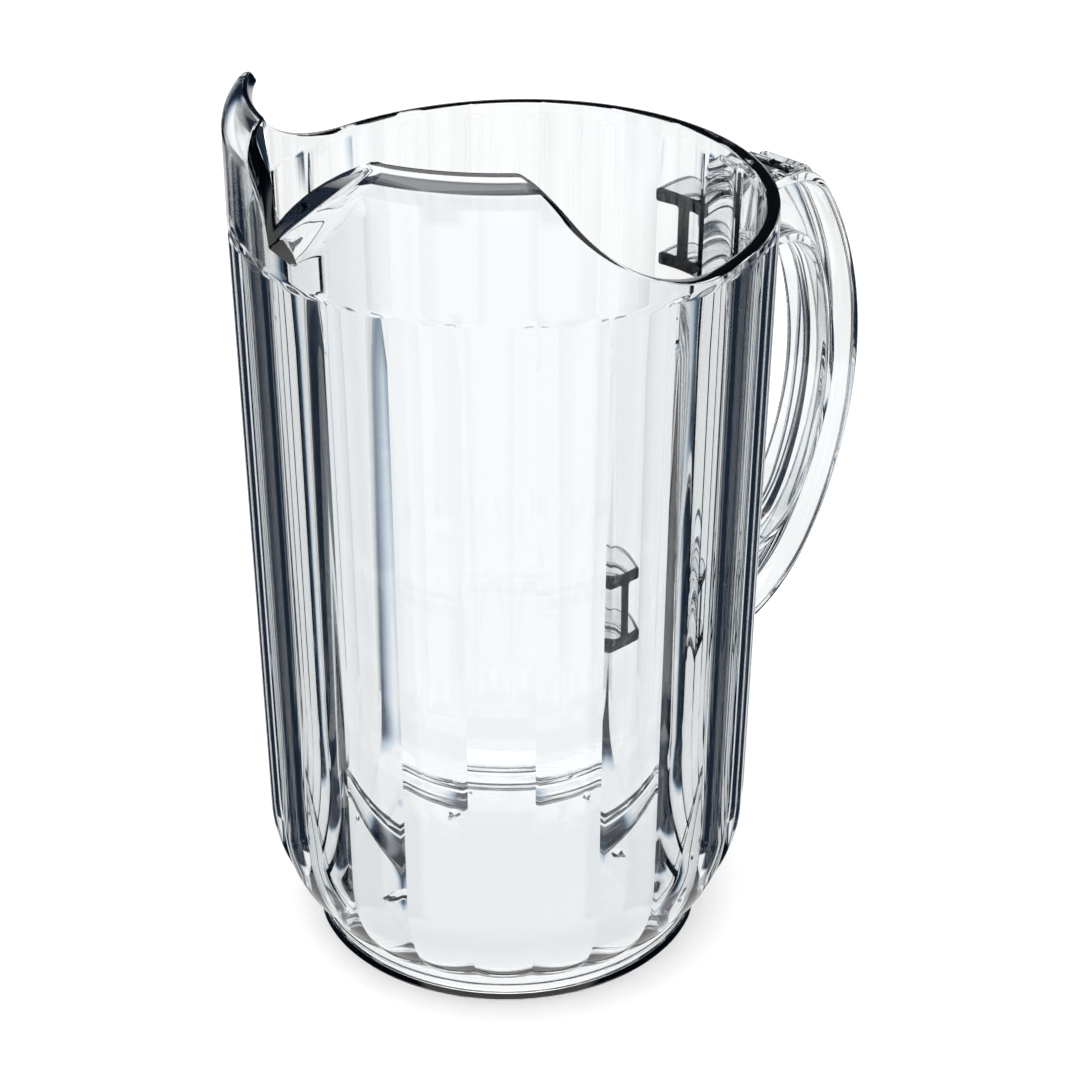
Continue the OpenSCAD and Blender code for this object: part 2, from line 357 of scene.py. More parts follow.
@dataclass
class LobedWall:
    """The lobed wall that the jug and the seats of the handle share. Sizes are in millimetres."""

    lobe_count: int = 24
    lobe_round: float = 20.0
    collar_line_h: float = 182.0
    collar_line_d: float = 121.8
    shoulder_h: float = 33.0
    shoulder_d: float = 116.6
    shoulder_round: float = 38.4
    wall_t: float = 2.4
    columns_per_lobe: int = 16

    @property
    def column_count(self) -> int:
        """Number of columns round the jug."""
        return self.lobe_count * self.columns_per_lobe

    @property
    def slope(self) -> float:
        """Growth of the wall's radius with height."""
        return (self.collar_line_d - self.shoulder_d) / 2 / (self.collar_line_h - self.shoulder_h)

    @property
    def groove_depth(self) -> float:
        """Depth of the grooves at the collar line."""
        return self.collar_line_d / 2 * (1 - float(self.share(np.array(math.pi / self.lobe_count))))

    def share(self, angles: np.ndarray) -> np.ndarray:
        """Radius of the lobed outline as a share of the crest radius.

        Args:
            angles: Angles about Z, in radians.

        Returns:
            The share at each angle.
        """
        pitch = 2 * math.pi / self.lobe_count
        off = angles - pitch * np.round(angles / pitch)
        size = self.lobe_round / (self.collar_line_d / 2)
        centre = 1 - size
        return centre * np.cos(off) + np.sqrt(size**2 - (centre * np.sin(off)) ** 2)

    def crest_r(self, height: float) -> float:
        """Radius over the crests of the upright wall."""
        return self.shoulder_d / 2 + (height - self.shoulder_h) * self.slope

    def inside_r(self, height: float) -> float:
        """Radius of the smooth inside wall."""
        return self.crest_r(height) - self.groove_depth - self.wall_t

    def seat_x(self, y: float, z: float) -> float:
        """Distance along X from the axis to the lobed wall, on the handle's side.

        Args:
            y: Place across the handle.
            z: Height above the table.

        Returns:
            The wall's x at that place.
        """
        crest = self.crest_r(z)
        angle = math.asin(y / crest)
        for _ in range(SEAT_PASSES):
            angle = math.asin(y / (crest * float(self.share(np.array(angle)))))
        return crest * float(self.share(np.array(angle))) * math.cos(angle)


@dataclass
class JugBody:
    """The jug: foot, lobed wall, collar, curled wings and beak. Sizes are in millimetres."""

    wall: LobedWall
    foot_d: float = 94.4
    foot_h: float = 5.0
    foot_ring_w: float = 7.2
    foot_round: float = 0.7
    foot_recess: float = 1.2
    recess_round: float = 0.5
    floor_t: float = 3.0
    inside_round: float = 20.0
    pip_count: int = 6
    pip_r: float = 1.4
    pip_h: float = 0.7
    pip_inset: float = 3.0
    pip_rows: int = 9
    pip_spread: float = 1.1
    under_radii: Tuple[float, ...] = (1.5, 12.0, 24.0, 33.0)
    under_margin: float = 1.2
    bend_steps: int = 5
    shoulder_rows: int = 20
    wall_rows: int = 13
    inside_rows: int = 12
    corner_rows: int = 19
    floor_radii: Tuple[float, ...] = (18.0, 9.0, 1.5)
    collar_d: float = 121.2
    lobe_bevel_h: float = 0.6
    lobe_fade_h: float = 1.2
    lobe_fade_rows: int = 7
    curl_h: float = 21.0
    curl_round: float = 10.0
    mouth_d: float = 108.9
    dip_h: float = 2.0
    back_h: float = 4.4
    flank_round: float = 42.0
    flank_x: float = 4.5
    wing_back_round: float = 1.2
    wing_front_inset: float = 5.4
    wing_front_round: float = 2.5
    beak_reach: float = 5.45
    beak_tip_h: float = 10.4
    beak_chin_h: float = 5.0
    notch_back: float = 2.4
    outer_knee: Tuple[float, float, float] = (0.66, 0.9, 0.92)
    inner_knee: Tuple[float, float, float] = (0.33, 0.34, 0.64)
    inner_shift: Tuple[float, float, float] = (-1.4, -2.1, -0.2)
    crease_low_h: float = 10.1
    crease_high_angle: float = 19.8
    crease_spread: float = 50.0
    lip_rise: float = 0.6
    lip_steps: int = 8
    lip_power: float = 0.7
    collar_rows: int = 26
    chin_share: float = 0.32
    edge_depth: float = 1.0
    edge_fade: float = 2.0
    # Heights and edge of the painted shade on the curl's inner face and along the wings' tops.
    curl_shade_low: float = 4.5
    curl_shade_high: float = 6.3
    curl_shade_edge: float = 0.2
    top_shade_h: float = 0.5

    def __post_init__(self) -> None:
        """Works out the heights and places that the methods share."""
        wall = self.wall
        self.angles = np.arange(wall.column_count) * 2 * math.pi / wall.column_count
        self.collar_r = self.collar_d / 2
        self.curl_z = wall.collar_line_h + self.curl_h
        self.curl_x = self.collar_r - self.curl_round
        self.curl_in = wall.inside_r(self.curl_z) - self.curl_x
        reach = self.mouth_d / 2 - self.curl_x
        self.rim_top = self.curl_z + math.sqrt(self.curl_round**2 - reach**2)
        self.collar_z = wall.collar_line_h + self.lobe_bevel_h
        self.crease_low = math.pi / wall.lobe_count
        self.crease_low_z = wall.collar_line_h + self.crease_low_h
        self.chin_z = wall.collar_line_h + self.beak_chin_h
        self.tip = np.array([-(self.collar_r + self.beak_reach), 0.0, wall.collar_line_h + self.beak_tip_h])
        self.front_slope = (self.rim_top - self.tip[2]) / (self.beak_reach + self.wing_front_inset)
        self.chin_row = int(round(self.chin_share * (self.collar_rows - 1)))

    def rim_height(self, x: float) -> float:
        """Height of the rim in side view.

        Args:
            x: Place along X.

        Returns:
            The rim's height there.
        """
        dip = self.wall.collar_line_h + self.dip_h
        back = self.wall.collar_line_h + self.back_h
        if x > self.flank_x:
            return dip + (back - dip) * (x - self.flank_x) / (self.collar_r - self.flank_x)
        drop = self.flank_round**2 - (x - self.flank_x) ** 2
        flank = dip + self.flank_round - math.sqrt(drop) if drop > 0 else self.rim_top + self.flank_round
        front = self.tip[2] + (x - self.tip[0]) * self.front_slope
        return soft_min(front, soft_min(flank, self.rim_top, self.wing_back_round), self.wing_front_round)

    def crease_angle(self, height: float) -> float:
        """Angle of the beak's crease from the beak's plane."""
        rise = max(0.0, height - self.crease_low_z) / (self.rim_top - self.crease_low_z)
        return self.crease_low + rise * (math.radians(self.crease_high_angle) - self.crease_low)

    def spread(self, angle: float, height: float) -> float:
        """Moves a column aside so that the creases fall on columns.

        Args:
            angle: Angle of the column from the beak's plane at the collar line.
            height: Height above the table.

        Returns:
            The column's angle at that height.
        """
        far = math.radians(self.crease_spread)
        if angle >= far:
            return angle
        crease = self.crease_angle(height)
        return crease + (angle - self.crease_low) * (far - crease) / (far - self.crease_low)

    def skin_point(self, skin: Skin, angle: float, height: float) -> np.ndarray:
        """A point of the round collar or of the curl.

        Args:
            skin: Side of the wall.
            angle: Angle from the beak's plane.
            height: Height of the outer skin's point.

        Returns:
            The point, on the side of the beak where y is positive.
        """
        if height > self.curl_z:
            turn = math.asin(min(1.0, (height - self.curl_z) / self.curl_round))
            size = self.curl_round if skin is Skin.OUTER else self.curl_in
            radius, level = self.curl_x + size * math.cos(turn), self.curl_z + size * math.sin(turn)
        else:
            radius = self.collar_r if skin is Skin.OUTER else self.wall.inside_r(height)
            level = height
        return np.array([-radius * math.cos(angle), radius * math.sin(angle), level])

    def skin_end(self, skin: Skin, angle: float) -> float:
        """Height at which a column ends under the lip.

        Args:
            skin: Side of the wall.
            angle: Angle of the column from the beak's plane at the collar line.

        Returns:
            The height, given as that of the outer skin's point.
        """
        low, high = self.collar_z, self.rim_top
        for _ in range(HALVINGS):
            middle = (low + high) / 2
            point = self.skin_point(skin, self.spread(angle, middle), middle)
            low, high = (middle, high) if self.rim_height(point[0]) > point[2] else (low, middle)
        turn = min(1.0, max(0.0, low - self.curl_z) / self.curl_round)
        return low - self.lip_rise * math.sqrt(1 - turn**2)

    def beak_front(self, skin: Skin) -> Tuple[np.ndarray, np.ndarray, np.ndarray]:
        """Ends and knee of the beak's front edge.

        Args:
            skin: Side of the wall.

        Returns:
            The edge's lower end, knee and upper end, on the side where y is positive.
        """
        end = self.skin_end(Skin.OUTER, self.crease_low)
        top = self.skin_point(Skin.OUTER, self.crease_angle(end), end)
        if skin is Skin.OUTER:
            return self.tip, self.tip + (top - self.tip) * np.array(self.outer_knee), top
        notch = self.tip + self.notch_back * np.array([1, 0, self.front_slope])
        top = top + np.array(self.inner_shift)
        return notch, notch + (top - notch) * np.array(self.inner_knee), top

    def beak_point(self, skin: Skin, across: float, along: float) -> np.ndarray:
        """A point of the beak's patch between chin, tip and crease.

        Args:
            skin: Side of the wall.
            across: Place from the ridge, 0, to the crease, 1.
            along: Place from the chin, 0, to the rim, 1.

        Returns:
            The point, on the side where y is positive.
        """
        end = self.skin_end(skin, self.crease_low)
        tip, knee, top = self.beak_front(skin)

        def crease(share: float) -> np.ndarray:
            """A point of the crease.

            Args:
                share: Place from the crease's lower end, 0, to its upper end, 1.

            Returns:
                The point.
            """
            height = self.crease_low_z + share * (end - self.crease_low_z)
            last = self.skin_point(skin, self.crease_angle(end), end)
            return self.skin_point(skin, self.crease_angle(height), height) + share**2 * (top - last)

        def chin(share: float) -> np.ndarray:
            """A point of the chin's line."""
            height = self.chin_z + share * (self.crease_low_z - self.chin_z)
            return self.skin_point(skin, share * self.crease_low, height)

        front = (1 - across) ** 2 * tip + 2 * across * (1 - across) * knee + across**2 * top
        ridge = (1 - along) * chin(0.0) + along * tip
        flat = (1 - across) * ridge + across * ((1 - along) * crease(0.0) + along * top)
        side = (1 - across) * ridge + across * crease(along)
        return side + (1 - along) * chin(across) + along * front - flat

    def collar_skins(self) -> Dict[Skin, np.ndarray]:
        """Rows of the collar, wings and beak from the collar line to the lip.

        Returns:
            For each skin, rows of columns of points.
        """
        rows = np.linspace(0, 1, self.collar_rows)
        skins = {skin: np.zeros((self.collar_rows, len(self.angles), 3)) for skin in Skin}
        for column, full in enumerate(self.angles):
            angle, side = abs(full - math.pi), 1.0 if full < math.pi else -1.0
            in_beak = angle < self.crease_low + TINY
            across = min(1.0, angle / self.crease_low)
            chin = self.chin_z + across * (self.crease_low_z - self.chin_z)
            for skin in Skin:
                end = self.skin_end(skin, max(angle, self.crease_low))
                for number, share in enumerate(rows):
                    if in_beak and number > self.chin_row:
                        along = (number - self.chin_row) / (self.collar_rows - 1 - self.chin_row)
                        point = self.beak_point(skin, across, along)
                    elif in_beak:
                        height = self.collar_z + (chin - self.collar_z) * number / self.chin_row
                        point = self.skin_point(skin, angle, height)
                    else:
                        height = self.collar_z + share * (end - self.collar_z)
                        point = self.skin_point(skin, self.spread(angle, height), height)
                    skins[skin][number, column] = point * np.array([1, side, 1])
        return skins

    def lip_rings(self, skins: Dict[Skin, np.ndarray]) -> List[np.ndarray]:
        """Rings of the rounded lip from the outer to the inner skin.

        Args:
            skins: Rows of both skins.

        Returns:
            The rings between the skins' last rows.
        """
        outer, inner = skins[Skin.OUTER], skins[Skin.INNER]
        middle, half = (outer[-1] + inner[-1]) / 2, (outer[-1] - inner[-1]) / 2
        run = outer[-1] - outer[-2] + inner[-1] - inner[-2]
        run = run / np.linalg.norm(run, axis=1, keepdims=True)
        rings = []
        for step in range(1, self.lip_steps):
            turn = math.pi * step / self.lip_steps
            along = math.copysign(abs(math.cos(turn)) ** self.lip_power, math.cos(turn))
            rise = self.lip_rise * math.sin(turn) ** self.lip_power
            rings.append(middle + half * along + run * rise)
        return rings

    def lip_shade(self, lip: Sequence[np.ndarray]) -> np.ndarray:
        """Painted shade of the lip at each column, which stands in for light that is led away along the wall.

        Args:
            lip: Rings of the lip.

        Returns:
            The share of the painted dark tone, full on the front edges.
        """
        middle = lip[len(lip) // 2]
        below = self.tip[2] + (middle[:, 0] - self.tip[0]) * self.front_slope - middle[:, 2]
        return np.clip(1 - (below - self.edge_depth) / self.edge_fade, 0, 1)

    def curl_shade_group(self) -> bpy.types.NodeTree:
        """Builds the painted-shade masks for the wings' tops and the inner face of their curled ends, which
        stand in for light led away along the wall.

        Returns:
            The node group.
        """
        chain, inlet, outlet = start_group("curl_painted_shade", ("Vector", "INPUT", "Vector"),
                                           ("Top", "OUTPUT", "Float"), ("Inner", "OUTPUT", "Float"))
        place = chain.split(inlet.outputs["Vector"])
        aside = chain.do("SUBTRACT", chain.length(place["X"], place["Y"]), self.curl_x * MM)
        rise = chain.do("SUBTRACT", place["Z"], self.curl_z * MM)
        size = chain.length(rise, aside)
        middle = (self.curl_in + self.curl_round) / 2
        inner = chain.do("LESS_THAN", size, middle * MM)
        edge = self.curl_shade_edge
        low = chain.ramp(rise, self.curl_shade_low * MM, (self.curl_shade_low + edge) * MM)
        high = chain.ramp(rise, (self.curl_shade_high - edge) * MM, self.curl_shade_high * MM)
        band = chain.do("MULTIPLY", low, chain.do("SUBTRACT", 1.0, high))
        # Inner: painted dark band on the curl's inner face, used in the material only where a ray leaves the
        # wall through it.
        chain.feed(outlet.inputs["Inner"], chain.do("MULTIPLY", band, inner))
        # Top: painted dark line along the wings' tops.
        crest = self.rim_top - self.curl_z - self.top_shade_h
        chain.feed(outlet.inputs["Top"], chain.ramp(rise, (crest - edge) * MM, crest * MM))
        return chain.tree

    def foot_rings(self) -> List[np.ndarray]:
        """Rings of the hollow underside, the pips and the foot ring.

        Returns:
            The rings from the middle of the underside to the top of the foot ring.
        """
        outer = self.foot_d / 2
        inner = outer - self.foot_ring_w
        row = inner - self.pip_inset
        shares = np.linspace(-self.pip_spread, self.pip_spread, self.pip_rows)
        radii = [*self.under_radii, *(row + self.pip_r * shares), inner - self.under_margin]
        rings = []
        for radius in radii:
            heights = np.full(len(self.angles), self.foot_recess)
            for pip in range(self.pip_count):
                turn = 2 * math.pi * (pip + 0.5) / self.pip_count
                gap = np.hypot(radius * np.cos(self.angles) - row * math.cos(turn),
                               radius * np.sin(self.angles) - row * math.sin(turn))
                dome = np.sqrt(np.clip(1 - (gap / self.pip_r) ** 2, 0, 1))
                heights = heights - self.pip_h * dome
            rings.append(polar(self.angles, radius, heights))
        hollow, size = self.recess_round, self.foot_round
        corners = [
            (inner - hollow, self.foot_recess - hollow, hollow, 90, 0),
            (inner + hollow, hollow, hollow, 180, 270),
            (outer - size, size, size, 270, 360),
            (outer - size, self.foot_h - size, size, 0, 90),
        ]
        for x, z, bend, start, end in corners:
            for turn in np.radians(np.linspace(start, end, self.bend_steps)):
                rings.append(polar(self.angles, x + bend * math.cos(turn), z + bend * math.sin(turn)))
        return rings

    def lobe_rings(self) -> List[np.ndarray]:
        """Rings of the lobed shoulder and wall.

        Returns:
            The rings from the foot ring to the lobes' ends.
        """
        wall = self.wall
        lean = math.atan(wall.slope)
        centre_x = wall.shoulder_d / 2 - wall.shoulder_round * math.cos(lean)
        centre_z = wall.shoulder_h + wall.shoulder_round * math.sin(lean)
        start = -math.asin((centre_z - self.foot_h) / wall.shoulder_round)
        share = wall.share(self.angles)
        rings = []
        for turn in np.linspace(start, -lean, self.shoulder_rows):
            crest = centre_x + wall.shoulder_round * math.cos(turn)
            rings.append(polar(self.angles, crest * share, centre_z + wall.shoulder_round * math.sin(turn)))
        low = wall.collar_line_h - self.lobe_fade_h
        for height in np.linspace(wall.shoulder_h, low, self.wall_rows)[1:]:
            rings.append(polar(self.angles, wall.crest_r(height) * share, height))
        for step in np.linspace(0, 1, self.lobe_fade_rows)[1:-1]:
            height = low + step * (self.collar_z - low)
            radii = wall.crest_r(height) * share
            fade = step**2 * (3 - 2 * step)
            rings.append(polar(self.angles, radii + (self.collar_r - radii) * fade, height))
        return rings

    def inside_rings(self) -> List[np.ndarray]:
        """Rings of the inside from under the collar to the middle of the floor.

        Returns:
            The rings, from the top down.
        """
        floor_z = self.foot_recess + self.floor_t
        corner_z = floor_z + self.inside_round
        corner_r = self.wall.inside_r(corner_z)
        rings = []
        for height in np.linspace(self.collar_z, corner_z, self.inside_rows)[1:-1]:
            rings.append(polar(self.angles, self.wall.inside_r(height), height))
        for turn in np.radians(np.linspace(0, -90, self.corner_rows)):
            rings.append(polar(self.angles, corner_r - self.inside_round * (1 - math.cos(turn)),
                               corner_z + self.inside_round * math.sin(turn)))
        for radius in self.floor_radii:
            rings.append(polar(self.angles, radius, floor_z))
        return rings

    def build(self) -> bpy.types.Object:
        """Builds the jug's mesh.

        Returns:
            The piece.
        """
        skins = self.collar_skins()
        foot, lobes = self.foot_rings(), self.lobe_rings()
        lip = self.lip_rings(skins)
        rings = foot + lobes + list(skins[Skin.OUTER]) + lip
        rings += list(skins[Skin.INNER][::-1]) + self.inside_rings()
        loft = RingLoft("jug_shell", rings)
        loft.close_to_points()
        half = self.wall.columns_per_lobe // 2
        grooves = range(half, self.wall.column_count, self.wall.columns_per_lobe)
        first, last = len(foot), len(foot) + len(lobes) - 1
        loft.mark_sharp(list(grooves), [first], (first, last - self.lobe_fade_rows + 2))
        chin = last + 1 + self.chin_row
        middle = self.wall.column_count // 2
        creases = [middle - half, middle, middle + half]
        loft.mark_sharp(creases, [], (chin, last + self.collar_rows))
        inside = last + self.collar_rows + self.lip_steps
        loft.mark_sharp(creases, [], (inside, inside + last + self.collar_rows - chin))
        # Painted shade on the lip's front edges, written as a mesh attribute for the material.
        loft.shade_rings(range(inside - len(lip), inside), self.lip_shade(lip))
        return loft.finish()


@dataclass
class LoopHandle:
    """The handle: an I section bent into a loop, with a ribbed thumb rest. Sizes are in millimetres."""

    wall: LobedWall
    collar_r: float = 60.6
    reach: float = 56.98
    drop: float = 13.6
    height: float = 123.0
    grip_round: float = 84.7
    grip_lift: float = 5.6
    grip_depth: float = 10.6
    upper_root_h: float = 19.0
    lower_root_h: float = 21.5
    top_bend: float = 16.0
    bottom_bend: float = 40.0
    gap_top_bend: float = 15.0
    gap_bottom_bend: float = 25.0
    outer_w: float = 16.8
    inner_w: float = 14.0
    flange_t: float = 3.1
    web_t: float = 3.4
    edge_round: float = 0.7
    root_round: float = 0.9
    rib_count: int = 4
    rib_pitch: float = 6.6
    rib_t: float = 2.0
    rib_h: float = 1.2
    rib_margin: float = 0.6
    rib_slope: float = 0.3
    rib_clear: float = 0.02
    edge_clear: float = 0.01
    run_steps: Tuple[int, ...] = (8, 12, 36, 16, 7)
    bend_steps: int = 5
    flat_steps: int = 14
    smooth_angle: float = 32.0
    seat_gap: float = 0.06

    def __post_init__(self) -> None:
        """Works out the loop's centre and ends."""
        self.top = self.wall.collar_line_h - self.drop
        self.bottom = self.top - self.height
        self.centre = np.array([self.collar_r + self.reach - self.grip_round,
                                (self.top + self.bottom) / 2 + self.grip_lift])

    def pieces_of_loop(self, size: float, low: float, high: float, low_bend: float,
                       high_bend: float) -> List[Callable[[float], np.ndarray]]:
        """The five runs of a loop in side view, from the upper root to the lower root.

        Args:
            size: Radius of the grip's curve.
            low: Height of the lower level run.
            high: Height of the upper level run.
            low_bend: Radius of the lower bend.
            high_bend: Radius of the upper bend.

        Returns:
            For each run a function from a share of the run to its x and z.
        """
        def place(z: float, bend: float) -> np.ndarray:
            """Centre of a bend that runs into the grip's curve."""
            return np.array([self.centre[0] + math.sqrt((size - bend) ** 2 - (z - self.centre[1]) ** 2), z])

        upper, lower = place(high - high_bend, high_bend), place(low + low_bend, low_bend)
        up_turn = math.atan2(*(upper - self.centre)[::-1])
        low_turn = math.atan2(*(lower - self.centre)[::-1])

        def arc(middle: np.ndarray, radius: float, start: float, end: float) -> Callable[[float], np.ndarray]:
            """A run along an arc.

            Args:
                middle: Centre of the arc.
                radius: Radius of the arc.
                start: First angle, in radians.
                end: Last angle, in radians.

            Returns:
                A function from a share of the run to its x and z.
            """
            def point(share: float) -> np.ndarray:
                """A point of the arc."""
                turn = start + (end - start) * share
                return middle + radius * np.array([math.cos(turn), math.sin(turn)])
            return point

        root = self.collar_r
        return [
            lambda share: np.array([root + (upper[0] - root) * share, high]),
            arc(upper, high_bend, math.pi / 2, up_turn),
            arc(self.centre, size, up_turn, low_turn),
            arc(lower, low_bend, low_turn, -math.pi / 2),
            lambda share: np.array([lower[0] + (root - lower[0]) * share, low]),
        ]

    def section(self, depth: float, rise: float) -> np.ndarray:
        """Outline of the I section.

        Args:
            depth: Height of the section.
            rise: How far the outer face is raised by a rib.

        Returns:
            Points as place across and place below the outer face.
        """
        outer, inner, web = self.outer_w / 2, self.inner_w / 2, self.web_t / 2
        corners = [
            (outer, 0.0, self.edge_round), (outer, -self.flange_t, self.edge_round),
            (web, -self.flange_t, self.root_round), (web, self.flange_t - depth, self.root_round),
            (inner, self.flange_t - depth, self.edge_round), (inner, -depth, self.edge_round),
        ]
        corners += [(-x, z, size) for x, z, size in reversed(corners)]
        points: List[np.ndarray] = []
        for index, (x, z, size) in enumerate(corners):
            here = np.array([x, z])
            before = np.array(corners[index - 1][:2])
            after = np.array(corners[(index + 1) % len(corners)][:2])
            u = (before - here) / np.linalg.norm(before - here)
            v = (after - here) / np.linalg.norm(after - here)
            middle = here + size * (u + v)
            start, end = here + size * u - middle, here + size * v - middle
            for share in np.linspace(0, 1, self.bend_steps):
                turn = share * math.pi / 2
                points.append(middle + start * math.cos(turn) + end * math.sin(turn))
            if index in (len(corners) // 2 - 1, len(corners) - 1):
                ends = points[-1], after + size * (here - after) / np.linalg.norm(here - after)
                shares = np.linspace(0, 1, self.flat_steps)[1:-1]
                points += [ends[0] + (ends[1] - ends[0]) * share for share in shares]
        outline = np.array(points)
        flat = self.outer_w / 2 - self.rib_margin - self.edge_round
        raised = (outline[:, 1] > -TINY) & (np.abs(outline[:, 0]) < flat + self.edge_clear)
        outline[raised, 1] += rise
        return outline

    def stations(self) -> List[Tuple[int, float, float]]:
        """Stations along the loop.

        Returns:
            For each station its run, its share of the run and the rise of a rib.
        """
        plain = []
        for run, count in enumerate(self.run_steps):
            plain += [(run, share, 0.0) for share in np.linspace(0, 1, count)]
        runs = self.pieces_of_loop(self.grip_round, self.bottom, self.top, self.bottom_bend, self.top_bend)
        level = runs[0](1.0)[0] - self.collar_r
        swing = runs[1](1.0) - (runs[1](0.0) - np.array([0, self.top_bend]))
        turn = abs(math.atan2(*swing[::-1]) - math.pi / 2)
        ribs = []
        half, slope = self.rib_t / 2, self.rib_slope
        for number in range(self.rib_count):
            for place, rise in ((-half - slope, 0), (-half, 1), (half, 1), (half + slope, 0)):
                if number == 0:
                    ribs.append((1, (self.rib_pitch + place) / self.top_bend / turn, rise * self.rib_h))
                else:
                    share = 1 - ((number - 1) * self.rib_pitch - place) / level
                    if share > 1:
                        ribs.append((1, (share - 1) * level / self.top_bend / turn, rise * self.rib_h))
                    else:
                        ribs.append((0, share, rise * self.rib_h))
        places = [run + share for run, share, _ in ribs]
        clear = self.rib_clear
        spans = [(min(a, b) - clear, max(a, b) + clear) for a, b in zip(places[::4], places[3::4])]
        kept = [s for s in plain if not any(a < s[0] + s[1] < b for a, b in spans)]
        found = {round(run + share, 5): (run, share, rise) for run, share, rise in kept + ribs}
        return [found[key] for key in sorted(found)]

    def build(self) -> bpy.types.Object:
        """Builds the handle's mesh.

        Returns:
            The piece.
        """
        outer = self.pieces_of_loop(self.grip_round, self.bottom, self.top, self.bottom_bend, self.top_bend)
        inner = self.pieces_of_loop(self.grip_round - self.grip_depth, self.bottom + self.lower_root_h,
                                    self.top - self.upper_root_h, self.gap_bottom_bend, self.gap_top_bend)
        stations = self.stations()
        rings = []
        for number, (run, share, rise) in enumerate(stations):
            here, under = outer[run](share), inner[run](share)
            depth = float(np.linalg.norm(here - under))
            out = (here - under) / depth
            outline = self.section(depth, rise)
            ring = np.array([[here[0] + out[0] * z, y, here[1] + out[1] * z] for y, z in outline])
            if number in (0, len(stations) - 1):
                ring[:, 0] = [self.wall.seat_x(y, z) + self.seat_gap for _, y, z in ring]
            rings.append(ring)
        loft = RingLoft("loop_handle", rings)
        loft.close_with_faces()
        piece = loft.finish()
        clear_selection()
        piece.select_set(True)
        bpy.context.view_layer.objects.active = piece
        bpy.ops.object.shade_smooth_by_angle(angle=math.radians(self.smooth_angle))
        clear_selection()
        return piece


@dataclass(frozen=True)
class Moulding:
    """Slow ripple, cloud and fine scuffs of moulded plastic."""

    stretch: Tuple[float, float, float] = (1.0, 1.0, 0.35)
    ripple_scale: float = 42.0
    ripple_detail: float = 1.0
    cloud_scale: float = 18.0
    cloud_detail: float = 2.0
    scuff_scale: float = 160.0
    scuff_detail: float = 3.0

    def group(self) -> bpy.types.NodeTree:
        """Builds the shared group.

        Returns:
            The node group.
        """
        chain, inlet, outlet = start_group(
            "moulded_plastic", ("Vector", "INPUT", "Vector"), ("Tint", "INPUT", "Color"),
            ("Gloss", "INPUT", "Float"), ("Color", "OUTPUT", "Color"), ("Roughness", "OUTPUT", "Float"),
            ("Height", "OUTPUT", "Float"))
        place = inlet.outputs["Vector"]
        stretch = chain.tree.nodes.new("ShaderNodeMapping")
        stretch.inputs["Scale"].default_value = self.stretch
        chain.feed(stretch.inputs["Vector"], place)
        ripple = chain.noise(stretch.outputs["Vector"], self.ripple_scale, self.ripple_detail)
        chain.feed(outlet.inputs["Height"], ripple)
        cloud = chain.noise(place, self.cloud_scale, self.cloud_detail)
        chain.feed(outlet.inputs["Color"], chain.blend(cloud, inlet.outputs["Tint"], WHITE))
        scuff = chain.noise(place, self.scuff_scale, self.scuff_detail)
        chain.feed(outlet.inputs["Roughness"], chain.do("MULTIPLY", scuff, inlet.outputs["Gloss"]))
        return chain.tree


def root_shade_group(wall: LobedWall) -> bpy.types.NodeTree:
    """Builds the group that paints shade on the handle's roots where they are bonded to the wall, in place of
    light led away through the handle.

    Args:
        wall: The lobed wall.

    Returns:
        The node group.
    """
    chain, inlet, outlet = start_group("root_painted_shade", ("Vector", "INPUT", "Vector"),
                                       ("Color", "INPUT", "Color"), ("Color", "OUTPUT", "Color"))
    place = chain.split(inlet.outputs["Vector"])
    foot = wall.crest_r(0.0) * MM
    crest = chain.do("MULTIPLY_ADD", place["Z"], wall.slope, foot)
    gap = chain.do("SUBTRACT", chain.length(place["X"], place["Y"]), crest)
    share = chain.do("SUBTRACT", 1.0, chain.ramp(gap, ROOT_DARK * MM, ROOT_CLEAR * MM))
    chain.feed(outlet.inputs["Color"], chain.blend(share, inlet.outputs["Color"], ROOT_SHADE_TONE))
    return chain.tree


